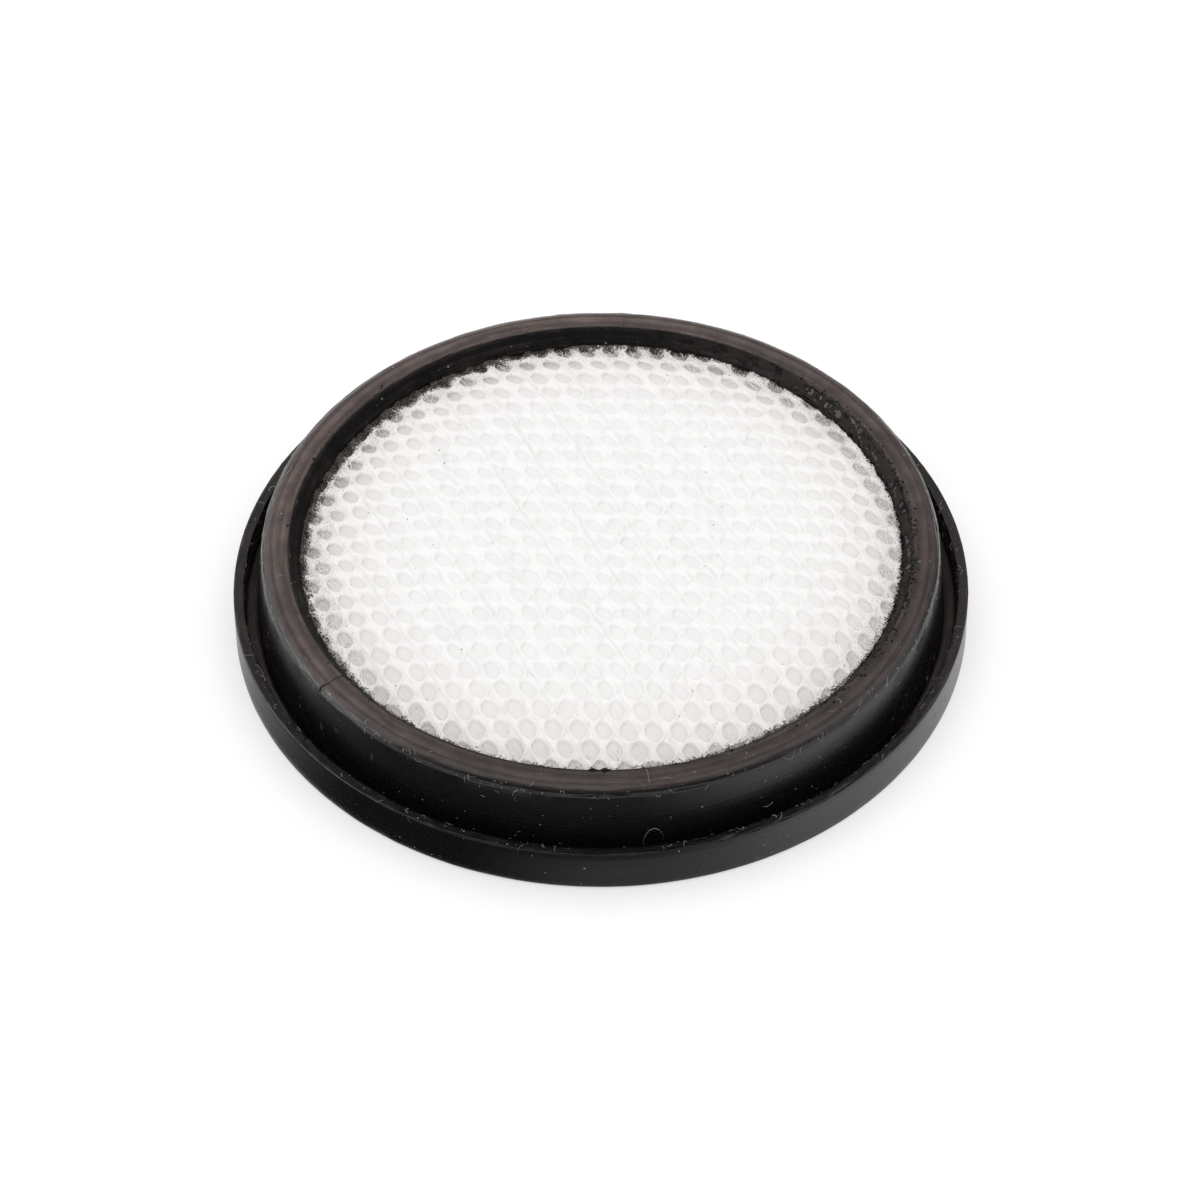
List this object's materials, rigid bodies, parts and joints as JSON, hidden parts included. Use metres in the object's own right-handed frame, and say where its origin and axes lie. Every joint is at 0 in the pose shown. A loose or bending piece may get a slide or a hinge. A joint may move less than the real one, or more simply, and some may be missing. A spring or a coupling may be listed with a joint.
{
  "type": "vacuum filter",
  "caption": "Round vacuum cleaner filter: black moulded rubber frame with a grooved rim that seals on the housing, holding a white mesh disc over a filter pad.",
  "frame": {"origin": "centre of the flat base, on the filter's axis", "axes": "+Z along the filter's axis, out of the mesh side; +X and +Y across it, alike apart from the lie of the mesh"},
  "size_m": [0.11, 0.11, 0.0157],
  "materials": {
    "rubber": "moulded, satin, dusty",
    "mesh": "white knitted spacer mesh",
    "pad": "white non-woven"
  },
  "bodies": {
    "root": {"rubber_frame": "rubber", "mesh_disc": "mesh", "filter_pad": "pad"}
  },
  "joints": []
}
